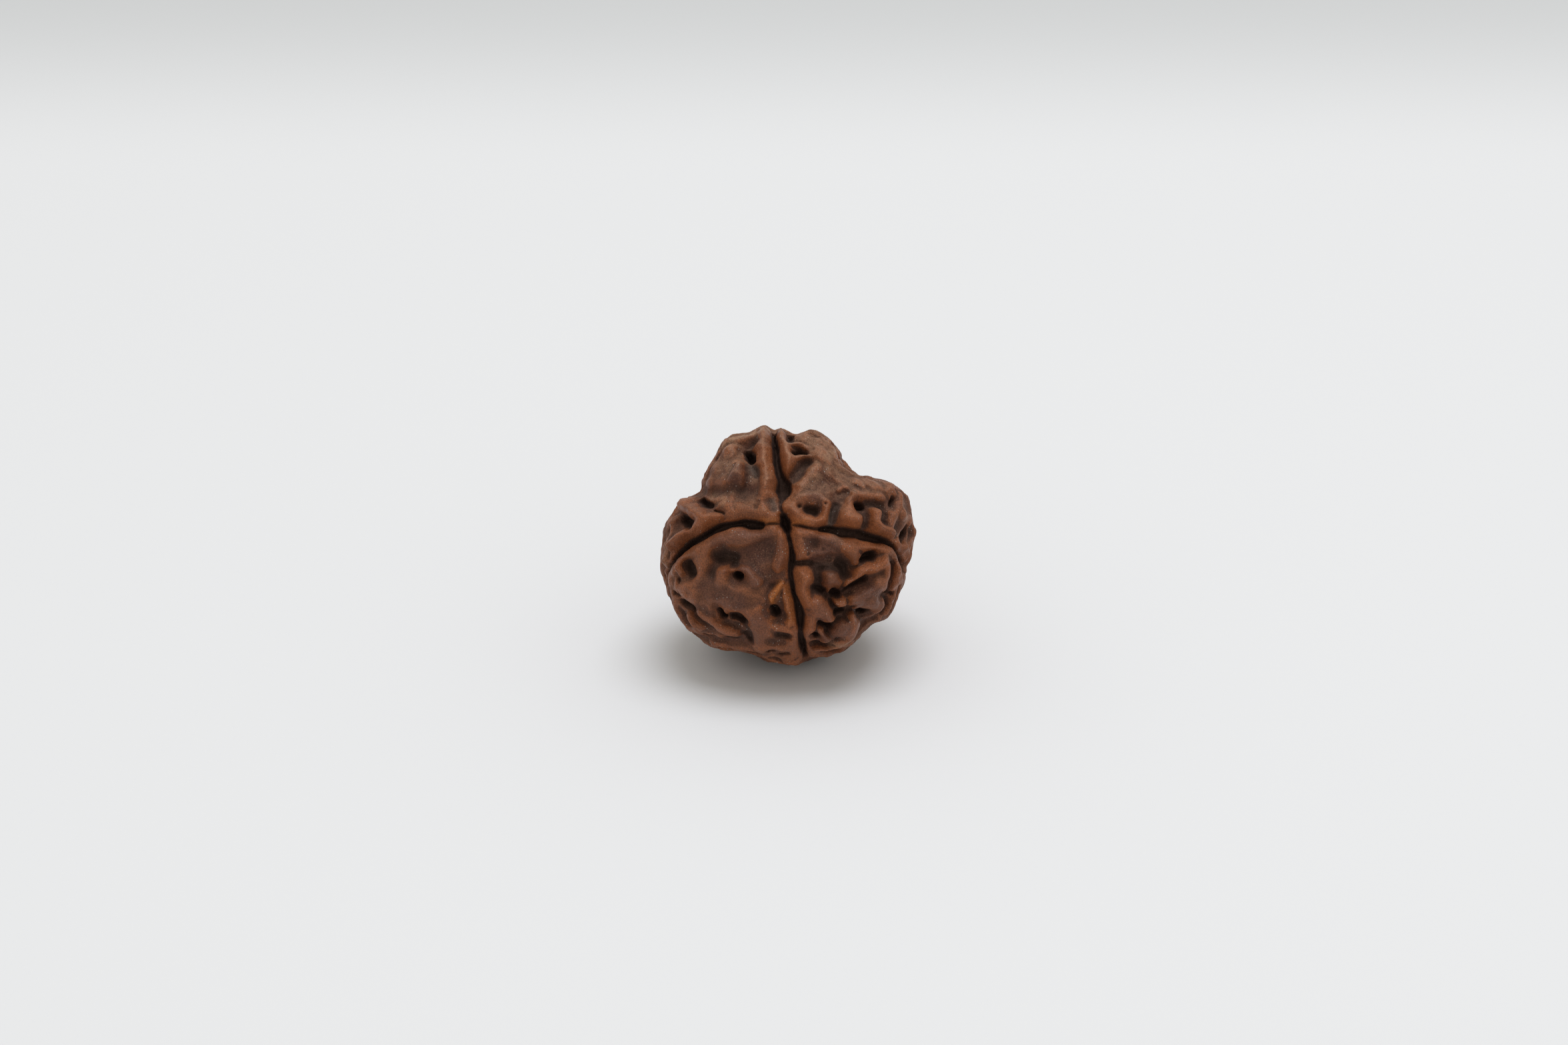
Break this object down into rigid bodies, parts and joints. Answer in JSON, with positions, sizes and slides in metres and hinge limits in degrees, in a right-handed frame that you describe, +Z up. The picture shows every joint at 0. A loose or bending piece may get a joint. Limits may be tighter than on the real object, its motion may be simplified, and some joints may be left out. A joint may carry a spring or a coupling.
{
  "type": "rudraksha seed",
  "caption": "Knobbly four-faced stone of a fruit, with four seams that meet in an eye, a raised net of ridges and pits, and a small flat spot to rest on.",
  "frame": {"origin": "centre of the seed's box at its base, on the plane of the flat spot that it rests on", "axes": "+Z up as it rests, +X across its widest way, -Y towards the side where the eye and the four seams show"},
  "size_m": [0.022, 0.0204, 0.0211],
  "materials": {
    "seed": "waxy, dusty"
  },
  "bodies": {
    "root": {"rudraksha_seed": "seed"}
  },
  "joints": []
}
